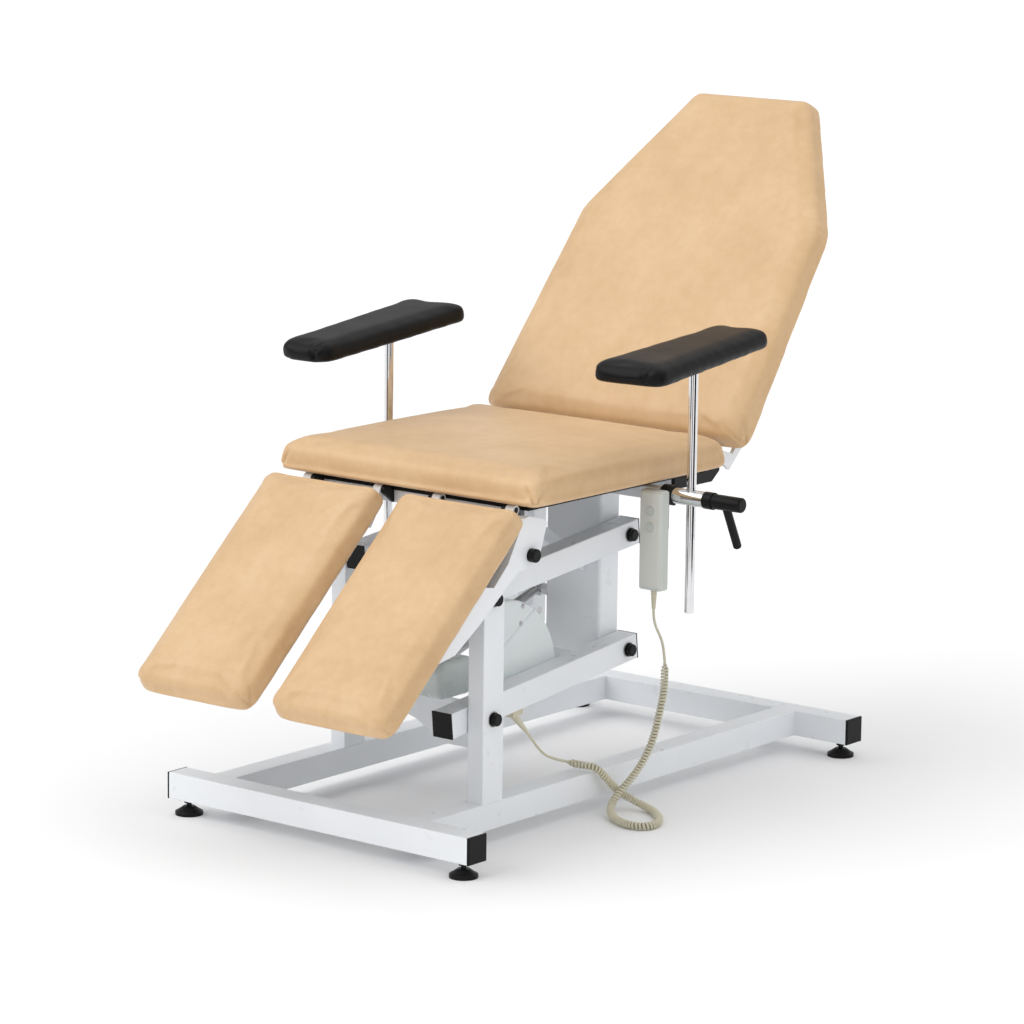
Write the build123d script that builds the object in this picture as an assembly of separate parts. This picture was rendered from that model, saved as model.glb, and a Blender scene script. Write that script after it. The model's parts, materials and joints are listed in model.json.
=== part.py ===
from build123d import *
import math
import os

# Medical treatment table: welded base, parallelogram lift, seat, back and two leg rests.
# Millimetres. X is the width, -Y the foot end, +Y the head end, +Z up, floor at Z = 0.
# The sizes below put Y = 0 midway between the base bars. Every part is then moved by
# SHIFT_Y, so that the origin is under the middle of the whole table.

# ---------------------------------------------------------------- driving dimensions
SHIFT_Y = 22.94

BAR = 50.0                 # square tube of the base
WALL = 2.5                 # wall of every square tube
TUBE_EDGE = 2.0            # outer edge radius of every square tube
BASE_Z = 30.0              # underside of the base tubes
BASE_TOP = BASE_Z + BAR
BAR_HALF = 360.0           # half length of the front and rear bars, over their caps
BASE_Y = 610.0             # front and rear bars end here
CAP_T = 5.0                # flange of a black end cap
RAIL_RIGHT_X = (184.0, 234.0)
RAIL_LEFT_X = (-285.0, -235.0)
FOOT_X = 328.0
FOOT_R = 26.0

POST_D = 58.0              # lift posts, along the table
POST_TOP = 476.0
POST_RIGHT_X = (198.0, 234.0)
POST_LEFT_X = (-271.0, -235.0)

ARM_W = 44.0               # lift arms
ARM_H = 48.0
ARM_GAP = 2.0              # washer gap between an arm and its post
ARM_ANGLE = 6.1            # arms above level at rest
ARM_LENGTH = 451.0         # pivot to pivot
LOWER_FRONT_EXT = 70.0     # lower arms ahead of their front pivots
ARM_EXT = 27.0             # every other arm end beyond its pivot
PIVOT_Y = -389.0           # right front pivots
PIVOT_Z = (234.0, 454.0)
LEFT_SHIFT = 165.0         # the left arms stand this much nearer the head end
PIN_R = 8.0
PIN_PLAY = 0.3             # radial play of a hinge
KNOB_R = 13.0
ARM_RIGHT_X = (POST_RIGHT_X[0] - ARM_GAP - ARM_W, POST_RIGHT_X[0] - ARM_GAP)
ARM_LEFT_X = (POST_LEFT_X[1] + ARM_GAP, POST_LEFT_X[1] + ARM_GAP + ARM_W)

REAR_Y = PIVOT_Y + ARM_LENGTH * math.cos(math.radians(ARM_ANGLE))
ARM_RISE = ARM_LENGTH * math.sin(math.radians(ARM_ANGLE))

COLUMN_X = (20.0, ARM_RIGHT_X[0] - ARM_GAP)
COLUMN_D = 60.0
COLUMN_BOTTOM = 258.0
COLUMN_BEND = 7.0
UPRIGHT_X = (ARM_LEFT_X[1] + ARM_GAP, ARM_LEFT_X[1] + ARM_GAP + 40.0)
UPRIGHT_D = 40.0
TIE_H = 40.0

DRIVE_X = -10.0            # plane of the lift drive
DRIVE_A = (-330.0, 262.0)  # Y, Z of the drive's pivot on the right lower arm
DRIVE_B = (45.0, 374.0)    # Y, Z of the rod's eye on the column
DRIVE_TUBE_R = 17.0
DRIVE_ROD_R = 9.0
DRIVE_EYE_PLAY = 2.9       # the eye's hole is larger than its pin by this

FRAME_Z = (586.0, 610.0)   # tubes under the seat
RAIL_X = (135.0, 165.0)
SEAT_Y = (-368.0, 218.0)
SEAT_HALF = 308.0
SEAT_TOP = 685.0
BOARD_T = 12.0
BOARD_INSET = 22.0
CROSS_FRONT_Y = (-330.0, -300.0)
CROSS_REAR_Y = (110.0, 140.0)

LEG_ANGLE = 42.1           # leg rests below level at rest
LEG_TOP = (-408.5, 644.0)  # Y, Z of the top surface at the hinge end
LEG_LENGTH = 506.0
LEG_T = 55.0
LEG_X = (26.0, 299.0)
LEG_HINGE = (-350.0, 612.0)
LEG_PIN_R = 5.5
LEG_EYE_R = 9.0
LEG_LUG_X = ((52.0, 60.0), (222.0, 230.0))
LEG_KNUCKLE_X = ((61.0, 79.0), (231.0, 249.0))
LEVER_X = (249.0, 273.0)
LEG_KNOB = (-336.0, 532.0)

BACK_ANGLE = 52.4
BACK_FOOT = (226.0, 681.0) # Y, Z of the back's lower front edge
BACK_T = 59.0
BACK_LENGTH = 760.0
BACK_SHOULDER = 472.0
BACK_HALF = (311.0, 288.0, 139.0)
BACK_HINGE = (240.0, 640.0)
BACK_PIN_R = 6.0
BACK_LUG_X = (252.0, 260.0)
BACK_ARM_X = (262.0, 270.0)
BACK_TUBE_X = (95.0, 120.0)
BACK_TUBE = 25.0

GAS_X = 81.0
GAS_A = (100.0, 520.0)     # Y, Z of the gas spring's pivot behind the column
GAS_B = (300.0, 640.0)     # Y, Z of its upper eye on the back
GAS_PIN_R = 5.0
GAS_EYE_PLAY = 5.2         # the upper eye's hole is larger than its pin by this
GAS_TUBE_R = 11.0
GAS_ROD_R = 5.0

POST_X = 364.0             # armrest posts
POST_Y = 21.0
POST_R = 9.0
POST_Z = (383.0, 862.0)
LEFT_POST_DROP = 34.0      # the left armrest is set this much lower
POST_PLAY = 0.05
TEE_R = 15.0
TEE_Z = 598.0
TEE_X = (300.0, 397.0)
GRIP_X = (397.0, 480.0)
LEVER_ROD_X = 440.0
LEVER_ROD_LENGTH = 100.0
LEVER_LEAN = 26.0
PAD_ENTRY = 6.0            # a post's top inside its pad
PAD_T = 40.0
PAD_OFFSET = 17.0

HANDSET_X = (279.0, 330.0)
HANDSET_Y = (-24.0, 2.0)
HANDSET_Z = (423.0, 610.0)
RELIEF_TIP_Z = 387.0

CORD_R = 2.5
COIL_R = 7.75
GLAND_TIP = (176.0, -221.0, 172.0)
UPPER_LEAD = [(305, -9, 387), (305, -9, 369), (305, 0, 349), (305, 14, 330), (305, 25, 306), (305, 29, 278)]
COIL = [(305, 29, 278), (304, 31, 246), (304, 27, 214), (302, 18, 180), (299, 10, 146), (294, -2, 113),
        (287, -20, 83), (278, -44, 57), (269, -65, 37), (269, -84, 18), (290, -108, 9), (326, -129, 8),
        (360, -136, 8), (383, -123, 8), (386, -96, 8), (368, -62, 8), (334, -30, 8), (297, -12, 9),
        (266, -18, 20), (254, -43, 38), (252, -73, 66), (245, -98, 93), (217, -112, 95), (190, -115, 97)]
LOWER_LEAD = [(190, -115, 97), (178, -121, 99), (174, -140, 106), (176, -163, 116), (177, -185, 133),
              (176, -205, 156), (176, -221, 172)]


# ---------------------------------------------------------------- helpers
def block(x, y, z):
    """Box between pairs of limits."""
    size = (x[1] - x[0], y[1] - y[0], z[1] - z[0])
    centre = ((x[0] + x[1]) / 2, (y[0] + y[1]) / 2, (z[0] + z[1]) / 2)
    return Pos(*centre) * Box(*size)


def tube_x(x, y, z):
    """Square tube running along X, open at both ends."""
    hollow = block((x[0] - 1, x[1] + 1), (y[0] + WALL, y[1] - WALL), (z[0] + WALL, z[1] - WALL))
    return fillet(block(x, y, z).edges().filter_by(Axis.X), TUBE_EDGE) - hollow


def tube_y(x, y, z):
    """Square tube running along Y, open at both ends."""
    hollow = block((x[0] + WALL, x[1] - WALL), (y[0] - 1, y[1] + 1), (z[0] + WALL, z[1] - WALL))
    return fillet(block(x, y, z).edges().filter_by(Axis.Y), TUBE_EDGE) - hollow


def tube_z(x, y, z):
    """Square tube running along Z, open at both ends."""
    hollow = block((x[0] + WALL, x[1] - WALL), (y[0] + WALL, y[1] - WALL), (z[0] - 1, z[1] + 1))
    return fillet(block(x, y, z).edges().filter_by(Axis.Z), TUBE_EDGE) - hollow


def rod_x(radius, x, y, z):
    """Round rod along X."""
    return Pos((x[0] + x[1]) / 2, y, z) * Rot(0, 90, 0) * Cylinder(radius, x[1] - x[0])


def rod_y(radius, x, y, z):
    """Round rod along Y."""
    return Pos(x, (y[0] + y[1]) / 2, z) * Rot(90, 0, 0) * Cylinder(radius, y[1] - y[0])


def rod_z(radius, x, y, z):
    """Round rod along Z."""
    return Pos(x, y, (z[0] + z[1]) / 2) * Cylinder(radius, z[1] - z[0])


def plate(x, outline):
    """Plate between two X limits, with its outline given in Y and Z."""
    face = make_face(Polyline(*outline, close=True))
    return Pos(x[0], 0, 0) * extrude(Plane.YZ * face, x[1] - x[0])


def on_circle(centre, radius, degrees):
    a = math.radians(degrees)
    return (centre[0] + radius * math.cos(a), centre[1] + radius * math.sin(a))


def mirror_x(shape):
    return mirror(shape, about=Plane.YZ)


def both_sides(shape):
    return [shape, mirror_x(shape)]


def turned(shape, at, degrees):
    """Place a shape made about the X axis at a Y, Z point, turned about X."""
    return Pos(0, at[0], at[1]) * Rot(degrees, 0, 0) * shape


def group(shapes):
    """Separate solids written as one node."""
    return Compound([solid for shape in shapes for solid in shape.solids()])


def save(name, shape):
    moved = group([Pos(0, SHIFT_Y, 0) * shape])
    moved.label = name
    export_step(moved, f"parts/{name}.step")


def pad(outline, thickness, corner, edge):
    """Closed upholstery block: outline in XY, top at Z = 0, rounded all over."""
    face = make_face(Polyline(*outline, close=True))
    face = fillet(face.vertices(), corner)
    solid = extrude(face, -thickness)
    solid = fillet(solid.edges().group_by(Axis.Z)[-1], edge)
    return fillet(solid.edges().group_by(Axis.Z)[0], edge * 0.4)


def rectangle(x, y):
    return [(x[0], y[0]), (x[1], y[0]), (x[1], y[1]), (x[0], y[1])]


# ---------------------------------------------------------------- base
def base_bars():
    tube_half = BAR_HALF - CAP_T
    z = (BASE_Z, BASE_TOP)
    save("front_bar", tube_x((-tube_half, tube_half), (-BASE_Y, -BASE_Y + BAR), z))
    save("rear_bar", tube_x((-tube_half, tube_half), (BASE_Y - BAR, BASE_Y), z))
    rail_y = (-BASE_Y + BAR, BASE_Y - BAR)
    save("right_rail", tube_y(RAIL_RIGHT_X, rail_y, z))
    save("left_rail", tube_y(RAIL_LEFT_X, rail_y, z))
    caps = []
    inset = WALL + 0.3
    for y in ((-BASE_Y, -BASE_Y + BAR), (BASE_Y - BAR, BASE_Y)):
        flange = block((tube_half, BAR_HALF), y, z)
        flange = fillet(flange.edges().group_by(Axis.X)[-1], 2.0)
        plug = block((tube_half - 14, tube_half), (y[0] + inset, y[1] - inset), (z[0] + inset, z[1] - inset))
        caps.extend(both_sides(flange + plug))
    save("bar_end_caps", group(caps))


def feet():
    made = []
    from_floor = (Align.CENTER, Align.CENTER, Align.MIN)
    for x in (-FOOT_X, FOOT_X):
        for y in (-BASE_Y + BAR / 2, BASE_Y - BAR / 2):
            disc = Cylinder(FOOT_R, 7, align=from_floor)
            disc = fillet(disc.edges().group_by(Axis.Z)[-1], 1.5)
            cone = Pos(0, 0, 7) * Cone(FOOT_R - 2, 11, 9, align=from_floor)
            stud = Pos(0, 0, 16) * Cylinder(5, BASE_Z - 16, align=from_floor)
            nut = Pos(0, 0, 22) * extrude(RegularPolygon(9.5, 6), BASE_Z - 22)
            made.append(Pos(x, y, 0) * (disc + cone + stud + nut))
    save("levelling_feet", group(made))


def post(x, y_centre):
    y = (y_centre - POST_D / 2, y_centre + POST_D / 2)
    shell = fillet(block(x, y, (BASE_TOP, POST_TOP)).edges().filter_by(Axis.Z), TUBE_EDGE)
    shell -= block((x[0] + WALL, x[1] - WALL), (y[0] + WALL, y[1] - WALL), (BASE_TOP - 1, POST_TOP - WALL))
    for z in PIVOT_Z:
        shell -= rod_x(PIN_R, (x[0] - 1, x[1] + 1), y_centre, z)
    return shell


def knob(x_face, y, z, outward):
    """Black flanged cap over a pivot bolt's end."""
    step = x_face + 3.0 * outward
    tip = x_face + 12.0 * outward
    body = rod_x(KNOB_R - 1.5, sorted((step, tip)), y, z)
    body = fillet(body.edges().group_by(Axis.X)[-1 if outward > 0 else 0], 2.5)
    return body + rod_x(KNOB_R, sorted((x_face, step)), y, z)


def posts_and_front_bolts():
    save("right_post", post(POST_RIGHT_X, PIVOT_Y))
    save("left_post", post(POST_LEFT_X, PIVOT_Y + LEFT_SHIFT))
    bolts = []
    for z in PIVOT_Z:
        pin = rod_x(PIN_R, (ARM_RIGHT_X[0] - 1, POST_RIGHT_X[1]), PIVOT_Y, z)
        bolts.append(pin + knob(POST_RIGHT_X[1], PIVOT_Y, z, 1))
        pin = rod_x(PIN_R, (POST_LEFT_X[0], ARM_LEFT_X[1] + 1), PIVOT_Y + LEFT_SHIFT, z)
        bolts.append(pin + knob(POST_LEFT_X[0], PIVOT_Y + LEFT_SHIFT, z, -1))
    save("front_pivot_bolts", group(bolts))


# ---------------------------------------------------------------- lift arms
def arm(x, front_ext):
    """Lift arm along Y about its front pivot."""
    tube = tube_y(x, (-front_ext, ARM_LENGTH + ARM_EXT), (-ARM_H / 2, ARM_H / 2))
    for along in (0.0, ARM_LENGTH):
        tube -= rod_x(PIN_R + PIN_PLAY, (x[0] - 1, x[1] + 1), along, 0)
    return tube


def arm_caps(x, front_ext):
    """Black plugs with thin flanges in an arm's two ends."""
    inset = WALL + 0.3
    caps = []
    for along, outward in ((-front_ext, -1), (ARM_LENGTH + ARM_EXT, 1)):
        flange = block(x, sorted((along, along + 3.0 * outward)), (-ARM_H / 2, ARM_H / 2))
        plug_z = (-ARM_H / 2 + inset, ARM_H / 2 - inset)
        plug = block((x[0] + inset, x[1] - inset), sorted((along, along - 8.0 * outward)), plug_z)
        caps.append(flange + plug)
    return group(caps)


def lift_arms():
    for side, x, y in (("right", ARM_RIGHT_X, PIVOT_Y), ("left", ARM_LEFT_X, PIVOT_Y + LEFT_SHIFT)):
        for level, z, front_ext in (("lower", PIVOT_Z[0], LOWER_FRONT_EXT), ("upper", PIVOT_Z[1], ARM_EXT)):
            save(f"{side}_{level}_arm", turned(arm(x, front_ext), (y, z), ARM_ANGLE))
            save(f"{side}_{level}_arm_caps", turned(arm_caps(x, front_ext), (y, z), ARM_ANGLE))


def on_right_arm(shape):
    return turned(shape, (PIVOT_Y, PIVOT_Z[0]), ARM_ANGLE)


# ---------------------------------------------------------------- lift drive
def drive_bracket():
    """Plate hung on the right lower arm, with the lug and pin that carry the drive."""
    lug_x = (DRIVE_X - 40, DRIVE_X - 32)
    right = ARM_RIGHT_X[0]
    outline = [(lug_x[0], 246), (lug_x[0], 214), (20, 196), (64, 172), (84, 160), (right, 160), (right, 246)]
    hanger = extrude(Plane.XZ * make_face(Polyline(*outline, close=True)), 6)
    hanger = Pos(0, -345, 0) * hanger
    lug = plate(lug_x, [(-351, 214), (-351, 262), (-340, 280), (-320, 280), (-312, 262), (-345, 214)])
    pin = rod_x(6.0, (lug_x[0], DRIVE_X + 18), *DRIVE_A)
    stub = on_right_arm(block((60, right), (306, 342), (-14, 22)))
    save("drive_bracket", group([hanger + lug + pin, stub]))


def motor_housing():
    gearbox = block((DRIVE_X - 30, 16), (-368, -290), (249, 306))
    gearbox = fillet(gearbox.edges().filter_by(Axis.X), 12)
    motor = block((16, 115), (-400, -295), (249, 320))
    motor = fillet(motor.edges().filter_by(Axis.X), 22)
    motor = fillet(motor.edges().group_by(Axis.X)[-1], 10)
    housing = gearbox + motor
    housing -= rod_x(6.0 + PIN_PLAY, (DRIVE_X - 31, DRIVE_X + 20), *DRIVE_A)
    save("motor_housing", housing)


def strut_length(start, end):
    return math.hypot(end[0] - start[0], end[1] - start[1])


def strut_angle(start, end):
    return math.degrees(math.atan2(end[1] - start[1], end[0] - start[0]))


def drive():
    length = strut_length(DRIVE_A, DRIVE_B)
    angle = strut_angle(DRIVE_A, DRIVE_B)
    tube = rod_y(DRIVE_TUBE_R, DRIVE_X, (48, 250), 0) - rod_y(DRIVE_ROD_R + PIN_PLAY, DRIVE_X, (120, 251), 0)
    save("drive_tube", turned(tube, DRIVE_A, angle))
    eye_x = (DRIVE_X - 6, DRIVE_X + 6)
    rod = rod_y(DRIVE_ROD_R, DRIVE_X, (150, length - 8), 0) + rod_x(14, eye_x, length, 0)
    rod -= rod_x(GAS_PIN_R + DRIVE_EYE_PLAY, (eye_x[0] - 9, eye_x[1] + 9), length, 0)
    save("drive_rod", turned(rod, DRIVE_A, angle))


def gear_cover():
    """Quarter-disc guard on the inner face of the right lower arm, open towards the drive."""
    corner = (132.0, 13.0)
    radius = 158.0
    x = (120.0, ARM_RIGHT_X[0])
    with BuildSketch(Plane.YZ) as side:
        with BuildLine():
            rear = (corner[0] + radius, corner[1])
            top = (corner[0], corner[1] + radius)
            RadiusArc(rear, top, -radius)
            Line(top, corner)
            Line(corner, rear)
        make_face()
    solid = Pos(x[0], 0, 0) * extrude(side.sketch, x[1] - x[0])
    solid = fillet(solid.edges().group_by(Axis.X)[-1], 5.0)
    shell = offset(solid, -2.5, openings=solid.faces().sort_by(Axis.X)[0])
    save("gear_cover", on_right_arm(shell))


def cord_gland():
    """Block under the right lower arm and the tapered sleeve that the handset's cord leaves by."""
    seat_block = on_right_arm(block((164, 188), (112, 140), (-38, -ARM_H / 2)))
    start = Vector(176, -262, 213)
    run = Vector(*GLAND_TIP) - start
    sleeve = loft([Plane(start, z_dir=run) * Circle(8.0), Plane(Vector(*GLAND_TIP), z_dir=run) * Circle(3.6)])
    save("cord_gland", seat_block + sleeve)


# ---------------------------------------------------------------- carriage
def column():
    y = (REAR_Y - COLUMN_D / 2, REAR_Y + COLUMN_D / 2)
    z = (COLUMN_BOTTOM, FRAME_Z[0])
    outer = block(COLUMN_X, y, z)
    outer = fillet(outer.edges().filter_by(Axis.Z), COLUMN_BEND)
    inner = block((COLUMN_X[0] + WALL, COLUMN_X[1] - WALL), (y[0] + WALL, y[1] - WALL), (z[0] - 1, z[1] + 1))
    inner = fillet(inner.edges().filter_by(Axis.Z), COLUMN_BEND - WALL)
    shell = outer - inner
    for pivot_z in PIVOT_Z:
        shell -= rod_x(PIN_R, (COLUMN_X[0] - 1, COLUMN_X[1] + 1), REAR_Y, pivot_z + ARM_RISE)
    boss = rod_x(11, (6, COLUMN_X[0]), *DRIVE_B)
    pin = rod_x(GAS_PIN_R, (DRIVE_X - 9, 6), *DRIVE_B)
    lug = [(y[1], GAS_A[1] - 16), (GAS_A[0] + 12, GAS_A[1] - 12), (GAS_A[0] + 12, GAS_A[1] + 10), (y[1], GAS_A[1] + 16)]
    fork = plate((GAS_X - 13, GAS_X - 7), lug) + plate((GAS_X + 7, GAS_X + 13), lug)
    gas_pin = rod_x(GAS_PIN_R, (GAS_X - 13, GAS_X + 13), *GAS_A)
    save("column", shell + boss + pin + fork + gas_pin)


def left_upright():
    y_mid = REAR_Y + LEFT_SHIFT
    y = (y_mid - UPRIGHT_D / 2, y_mid + UPRIGHT_D / 2)
    shell = tube_z(UPRIGHT_X, y, (COLUMN_BOTTOM, FRAME_Z[0]))
    for pivot_z in PIVOT_Z:
        shell -= rod_x(PIN_R, (UPRIGHT_X[0] - 1, UPRIGHT_X[1] + 1), y_mid, pivot_z + ARM_RISE)
    save("left_upright", shell)
    tie_z = (COLUMN_BOTTOM, COLUMN_BOTTOM + TIE_H)
    across = tube_x((UPRIGHT_X[0], COLUMN_X[0]), (REAR_Y - 20, REAR_Y + 20), tie_z)
    save("column_ties", group([across, tube_y(UPRIGHT_X, (REAR_Y + 20, y[0]), tie_z)]))


def rear_pins():
    pins = []
    knobs = []
    for pivot_z in PIVOT_Z:
        z = pivot_z + ARM_RISE
        pins.append(rod_x(PIN_R, (COLUMN_X[0], ARM_RIGHT_X[1] + 1), REAR_Y, z))
        pins.append(rod_x(PIN_R, (ARM_LEFT_X[0] - 1, UPRIGHT_X[1]), REAR_Y + LEFT_SHIFT, z))
        knobs.append(knob(ARM_RIGHT_X[1] + 1, REAR_Y, z, 1))
        knobs.append(knob(ARM_LEFT_X[0] - 1, REAR_Y + LEFT_SHIFT, z, -1))
    save("rear_pivot_pins", group(pins))
    save("rear_pivot_knobs", group(knobs))


def seat_frame():
    z = FRAME_Z
    rail_end = REAR_Y + LEFT_SHIFT + UPRIGHT_D / 2
    tee_y = (POST_Y - 12, POST_Y + 12)
    tubes = [tube_x((-230, 230), CROSS_FRONT_Y, z)]
    for shape in (tube_y(RAIL_X, (CROSS_FRONT_Y[1], rail_end), z),
                  tube_x((RAIL_X[1], BACK_LUG_X[0]), CROSS_REAR_Y, z),
                  tube_x((RAIL_X[1], TEE_X[0]), tee_y, z)):
        tubes.extend(both_sides(shape))
    tubes.append(tube_x((-RAIL_X[0], RAIL_X[0]), CROSS_REAR_Y, z))
    tubes.append(tube_x((-RAIL_X[0], RAIL_X[0]), tee_y, z))
    frame = tubes[0]
    for tube in tubes[1:]:
        frame += tube
    column_face = REAR_Y - COLUMN_D / 2
    foot = (-195.0, z[0])
    brace = plate((75, 112), [(column_face, 424), (column_face, 452), (foot[0] + 16, foot[1]), (foot[0] - 22, foot[1])])
    brace += block((75, RAIL_X[0]), (foot[0] - 22, foot[0] + 16), z)
    save("seat_frame", frame + brace)


def seat():
    bottom = FRAME_Z[1] + BOARD_T
    outline = rectangle((-SEAT_HALF, SEAT_HALF), SEAT_Y)
    save("seat_cushion", Pos(0, 0, SEAT_TOP) * pad(outline, SEAT_TOP - bottom, 28, 22))
    board_x = SEAT_HALF - 45
    save("seat_board", block((-board_x, board_x), (SEAT_Y[0] + 36, SEAT_Y[1] - 13), (FRAME_Z[1], bottom)))


def hinge_brackets():
    """Lugs and pins under the seat that carry the leg rests and the back."""
    made = []
    for lug_x, knuckle_x in zip(LEG_LUG_X, LEG_KNUCKLE_X):
        face = CROSS_FRONT_Y[0]
        outline = [(face, FRAME_Z[0]), (face, 608), on_circle(LEG_HINGE, LEG_EYE_R, 60),
                   on_circle(LEG_HINGE, LEG_EYE_R, 200), on_circle(LEG_HINGE, LEG_EYE_R, 250)]
        lug = plate(lug_x, outline) + rod_x(LEG_EYE_R, lug_x, *LEG_HINGE)
        lug += rod_x(LEG_PIN_R, (lug_x[1], knuckle_x[1]), *LEG_HINGE)
        made.extend(both_sides(lug))
    top = FRAME_Z[1] - 0.4
    outline = [(CROSS_REAR_Y[0], top), (CROSS_REAR_Y[0], 588), (228, 588), (252, 606), (252, 640), (228, 640),
               (226, top)]
    lug = plate(BACK_LUG_X, outline) + rod_x(12, BACK_LUG_X, *BACK_HINGE)
    lug += rod_x(BACK_PIN_R, (BACK_LUG_X[1], BACK_ARM_X[1] + 2), *BACK_HINGE)
    made.extend(both_sides(lug))
    save("hinge_brackets", group(made))


# ---------------------------------------------------------------- leg rests
def on_leg(shape):
    return turned(shape, LEG_TOP, LEG_ANGLE)


def under_leg(along):
    """Y, Z of a point on the underside of a leg board, measured from its hinge end."""
    a = math.radians(LEG_ANGLE)
    depth = LEG_T + BOARD_T
    return (LEG_TOP[0] - along * math.cos(a) + depth * math.sin(a),
            LEG_TOP[1] - along * math.sin(a) - depth * math.cos(a))


def leg_lever():
    """Curved lever of a leg rest, with its two hinge knuckles."""
    lever = plate(LEVER_X, [(-343, 603), (-300, 592), (-290, 585), (-312, 522), (-334, 510), (-372, 506), (-480, 427),
                            (-547, 384), under_leg(330), under_leg(150), (-440, 488), (-401, 525), (-357, 600)])
    lever = fillet(lever.edges().filter_by(Axis.X).sort_by(Axis.Y)[-3:-1], 8)
    eye = LEG_HINGE
    inner = [on_circle(eye, LEG_EYE_R, 150), under_leg(20), under_leg(62), (-385, 545), on_circle(eye, LEG_EYE_R, 330)]
    outer = inner[:-1] + [(-320, 590), on_circle(eye, LEG_EYE_R, 300)]
    knuckles = []
    for x, outline in zip(LEG_KNUCKLE_X, (inner, outer)):
        knuckle = plate(x, outline) + rod_x(LEG_EYE_R, x, *eye)
        knuckles.append(knuckle - rod_x(LEG_PIN_R + PIN_PLAY, (x[0] - 1, x[1] + 1), *eye))
    return group([knuckles[0], lever + knuckles[1]])


def leg_knob():
    grip = rod_x(12.5, (LEVER_X[1], LEVER_X[1] + 15), *LEG_KNOB)
    return fillet(grip.edges().group_by(Axis.X)[-1], 3.0)


def leg_rests():
    cushion = on_leg(pad(rectangle(LEG_X, (-LEG_LENGTH, 0)), LEG_T, 30, 20))
    board = on_leg(block((LEG_X[0] + 24, LEG_X[1] - 32), (-LEG_LENGTH + 36, -20), (-LEG_T - BOARD_T, -LEG_T)))
    for name, shape in (("cushion", cushion), ("board", board), ("lever", leg_lever()), ("knob", leg_knob())):
        save(f"right_leg_{name}", shape)
        save(f"left_leg_{name}", mirror_x(shape))


# ---------------------------------------------------------------- back rest
def on_back(shape):
    return turned(shape, BACK_FOOT, BACK_ANGLE)


def back_outline(inset):
    low, shoulder, top = (half - inset for half in BACK_HALF)
    end = BACK_LENGTH - inset
    return [(-low, inset), (low, inset), (shoulder, BACK_SHOULDER), (top, end), (-top, end), (-shoulder, BACK_SHOULDER)]


def back_rest():
    save("back_cushion", on_back(pad(back_outline(0), BACK_T, 28, 22)))
    board = extrude(make_face(Polyline(*back_outline(BOARD_INSET), close=True)), -BOARD_T)
    save("back_board", on_back(Pos(0, 0, -BACK_T) * board))
    under = -BACK_T - BOARD_T
    z = (under - BACK_TUBE, under)
    frame = block((-BACK_TUBE_X[0], BACK_TUBE_X[0]), (60, 85), z) + block((-BACK_TUBE_X[0], BACK_TUBE_X[0]), (560, 585), z)
    for tube in both_sides(tube_y(BACK_TUBE_X, (4, 600), z)):
        frame += tube
    for tube in both_sides(tube_x((BACK_TUBE_X[1], BACK_ARM_X[0]), (60, 85), z)):
        frame += tube
    eye = (-24.0, -36.0)
    outline = [(-33, -36), (-33, -80), (60, z[0]), (100, z[0]), (100, under), (-3, under), (-15, -36)]
    arm_plate = plate(BACK_ARM_X, outline) + rod_x(9, BACK_ARM_X, *eye)
    arm_plate -= rod_x(BACK_PIN_R + PIN_PLAY, (BACK_ARM_X[0] - 1, BACK_ARM_X[1] + 1), *eye)
    for side in both_sides(arm_plate):
        frame += side
    frame = on_back(frame) + rod_x(GAS_PIN_R, (GAS_X - 8, BACK_TUBE_X[0] + 4), *GAS_B)
    save("back_frame", frame)


def gas_spring():
    length = strut_length(GAS_A, GAS_B)
    angle = strut_angle(GAS_A, GAS_B)
    eye_x = (GAS_X - 6, GAS_X + 6)
    wide = (eye_x[0] - 9, eye_x[1] + 9)
    cylinder = rod_x(9, eye_x, 0, 0) + rod_y(GAS_TUBE_R, GAS_X, (16, 150), 0) + rod_y(4.5, GAS_X, (6, 18), 0)
    cylinder -= rod_x(GAS_PIN_R + PIN_PLAY, wide, 0, 0) + rod_y(GAS_ROD_R + PIN_PLAY, GAS_X, (45, 151), 0)
    save("gas_cylinder", turned(cylinder, GAS_A, angle))
    rod = rod_y(GAS_ROD_R, GAS_X, (95, length - 8), 0) + rod_x(14, eye_x, length, 0)
    rod -= rod_x(GAS_PIN_R + GAS_EYE_PLAY, wide, length, 0)
    save("gas_rod", turned(rod, GAS_A, angle))


# ---------------------------------------------------------------- armrests
def armrest_pad(widths, reach, heading, tilt, drop, side):
    """Pad about its post: side is +1 on the right, -1 on the left. Widths and reach go front, rear."""
    front_width, rear_width = widths
    front, rear = reach
    post_top = POST_Z[1] - drop
    bottom = post_top - PAD_ENTRY
    middle = PAD_OFFSET * side
    outline = [(middle - front_width / 2, front), (middle + front_width / 2, front),
               (middle + rear_width / 2, rear), (middle - rear_width / 2, rear)]
    shape = Pos(0, 0, PAD_T) * pad(outline, PAD_T, 26, 14)
    shape = Pos(POST_X * side, POST_Y, bottom) * Rot(0, 0, heading) * Rot(tilt, 0, 0) * shape
    return shape - rod_z(POST_R + PIN_PLAY, POST_X * side, POST_Y, (bottom - 20, post_top + 1))


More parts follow.
